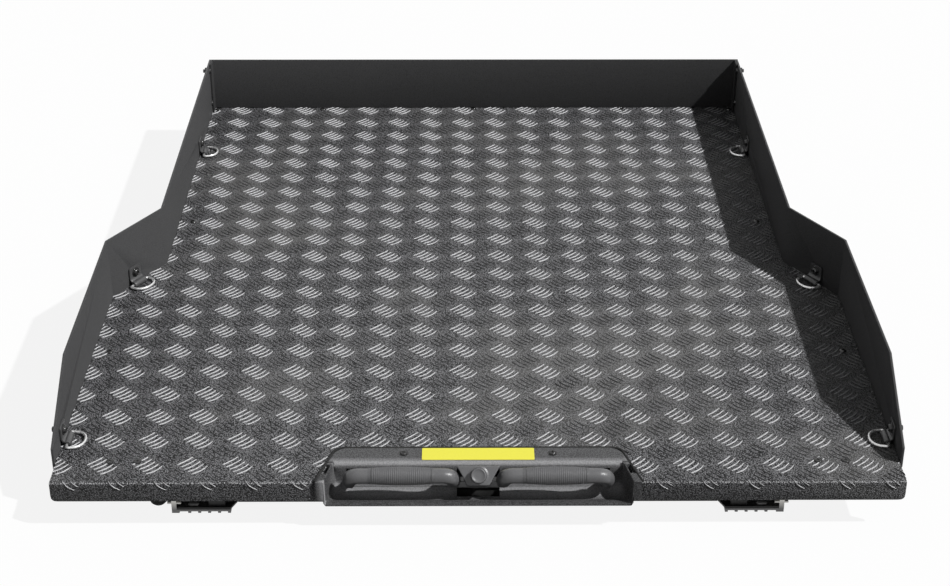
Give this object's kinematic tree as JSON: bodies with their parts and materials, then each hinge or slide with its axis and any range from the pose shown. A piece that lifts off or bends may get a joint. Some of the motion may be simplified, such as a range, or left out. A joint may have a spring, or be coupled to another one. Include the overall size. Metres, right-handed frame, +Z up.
{
  "type": "cargo slide",
  "caption": "Pull-out cargo slide: checker plate tray with raised sides and tie-down rings, rolling on floor rails, with a recessed twin-grip latch handle.",
  "frame": {"origin": "centre of the footprint, on the surface under the rails", "axes": "+X to the right seen from the handle, +Y from the handle towards the rear panel, +Z up"},
  "size_m": [1.1244, 1.2326, 0.1696],
  "materials": {
    "deck_coat": "textured powder coat",
    "panel_coat": "fine textured powder coat",
    "rail_aluminium": "extruded, satin",
    "black_steel": "semi-gloss black",
    "zinc_steel": "zinc plated",
    "chrome": "polished",
    "housing_plastic": "fine moulded grain",
    "grip_plastic": "ribbed",
    "rubber": "matte",
    "roller_nylon": "smooth",
    "label_yellow": "plain"
  },
  "bodies": {
    "base": {"left_rail": "rail_aluminium", "left_front_axle": "zinc_steel", "left_keeper": "black_steel", "left_closed_stop": "rubber", "left_open_stop": "rubber", "right_rail": "rail_aluminium", "right_front_axle": "zinc_steel", "right_keeper": "black_steel", "right_closed_stop": "rubber", "right_open_stop": "rubber", "front_crossmember": "black_steel", "rear_crossmember": "black_steel"},
    "tray": {"deck_plate": "deck_coat", "rear_panel": "panel_coat", "front_bearer": "black_steel", "rear_bearer": "black_steel", "front_buffer": "rubber", "handle_housing": "housing_plastic", "label_plate": "label_yellow", "return_spring": "zinc_steel", "latch_guard": "black_steel", "left_side_panel": "panel_coat", "left_channel": "black_steel", "left_rear_axle": "zinc_steel", "left_housing_screw": "zinc_steel", "left_shaft_hanger": "black_steel", "right_side_panel": "panel_coat", "right_channel": "black_steel", "right_rear_axle": "zinc_steel", "right_housing_screw": "zinc_steel", "right_shaft_hanger": "black_steel", "left_front_tiedown_bracket": "black_steel", "left_front_tiedown_bolt": "zinc_steel", "left_middle_tiedown_bracket": "black_steel", "left_middle_tiedown_bolt": "zinc_steel", "left_rear_tiedown_bracket": "black_steel", "left_rear_tiedown_bolt": "zinc_steel", "right_front_tiedown_bracket": "black_steel", "right_front_tiedown_bolt": "zinc_steel", "right_middle_tiedown_bracket": "black_steel", "right_middle_tiedown_bolt": "zinc_steel", "right_rear_tiedown_bracket": "black_steel", "right_rear_tiedown_bolt": "zinc_steel"},
    "handle": {"handle_frame": "housing_plastic", "latch_shaft": "zinc_steel", "left_grip_sleeve": "grip_plastic", "left_latch_hook": "black_steel", "right_grip_sleeve": "grip_plastic", "right_latch_hook": "black_steel"},
    "button": {"lock_button": "housing_plastic"},
    "left_front_wheel": {"left_front_roller": "roller_nylon"},
    "left_rear_wheel": {"left_rear_roller": "roller_nylon"},
    "left_front_ring": {"left_front_tiedown_ring": "chrome"},
    "left_middle_ring": {"left_middle_tiedown_ring": "chrome"},
    "left_rear_ring": {"left_rear_tiedown_ring": "chrome"},
    "right_front_wheel": {"right_front_roller": "roller_nylon"},
    "right_rear_wheel": {"right_rear_roller": "roller_nylon"},
    "right_front_ring": {"right_front_tiedown_ring": "chrome"},
    "right_middle_ring": {"right_middle_tiedown_ring": "chrome"},
    "right_rear_ring": {"right_rear_tiedown_ring": "chrome"}
  },
  "joints": [
    {"name": "tray_slide", "type": "slide", "parent": "base", "child": "tray", "axis": [0, -1, 0], "range_m": [0, 0.85]},
    {"name": "handle_lift", "type": "hinge", "parent": "tray", "child": "handle", "pos_m": [0, -0.535, 0.053], "axis": [-1, 0, 0], "range_deg": [0, 16], "stiffness_Nm_per_rad": 2},
    {"name": "button_push", "type": "slide", "parent": "handle", "child": "button", "axis": [0, 0.8191, -0.5736], "range_m": [0, 0.004], "stiffness_N_per_m": 400},
    {"name": "left_front_roller_spin", "type": "hinge", "parent": "base", "child": "left_front_wheel", "pos_m": [0, -0.516, 0.029], "axis": [1, 0, 0], "range_deg": [0, 2708]},
    {"name": "left_rear_roller_spin", "type": "hinge", "parent": "tray", "child": "left_rear_wheel", "pos_m": [0, 0.539, 0.024], "axis": [1, 0, 0], "range_deg": [0, 2708]},
    {"name": "right_front_roller_spin", "type": "hinge", "parent": "base", "child": "right_front_wheel", "pos_m": [0, -0.516, 0.029], "axis": [1, 0, 0], "range_deg": [0, 2708]},
    {"name": "right_rear_roller_spin", "type": "hinge", "parent": "tray", "child": "right_rear_wheel", "pos_m": [0, 0.539, 0.024], "axis": [1, 0, 0], "range_deg": [0, 2708]},
    {"name": "left_front_ring_turn", "type": "hinge", "parent": "tray", "child": "left_front_ring", "pos_m": [-0.5421, -0.5145, 0.0785], "axis": [0, -1, 0], "range_deg": [0, 80]},
    {"name": "left_middle_ring_turn", "type": "hinge", "parent": "tray", "child": "left_middle_ring", "pos_m": [-0.51644, -0.0757, 0.0785], "axis": [-0.5168, -0.8561, 0], "range_deg": [0, 80]},
    {"name": "left_rear_ring_turn", "type": "hinge", "parent": "tray", "child": "left_rear_ring", "pos_m": [-0.4751, 0.408, 0.0785], "axis": [0, -1, 0], "range_deg": [0, 80]},
    {"name": "right_front_ring_turn", "type": "hinge", "parent": "tray", "child": "right_front_ring", "pos_m": [0.5421, -0.5145, 0.0785], "axis": [0, 1, 0], "range_deg": [0, 80]},
    {"name": "right_middle_ring_turn", "type": "hinge", "parent": "tray", "child": "right_middle_ring", "pos_m": [0.51644, -0.0757, 0.0785], "axis": [-0.5168, 0.8561, 0], "range_deg": [0, 80]},
    {"name": "right_rear_ring_turn", "type": "hinge", "parent": "tray", "child": "right_rear_ring", "pos_m": [0.4751, 0.408, 0.0785], "axis": [0, 1, 0], "range_deg": [0, 80]}
  ],
  "couplings": [
    {"joint": "left_front_roller_spin", "follows": "tray_slide", "rad_per_m": 55.556},
    {"joint": "left_rear_roller_spin", "follows": "tray_slide", "rad_per_m": 55.556},
    {"joint": "right_front_roller_spin", "follows": "tray_slide", "rad_per_m": 55.556},
    {"joint": "right_rear_roller_spin", "follows": "tray_slide", "rad_per_m": 55.556}
  ]
}
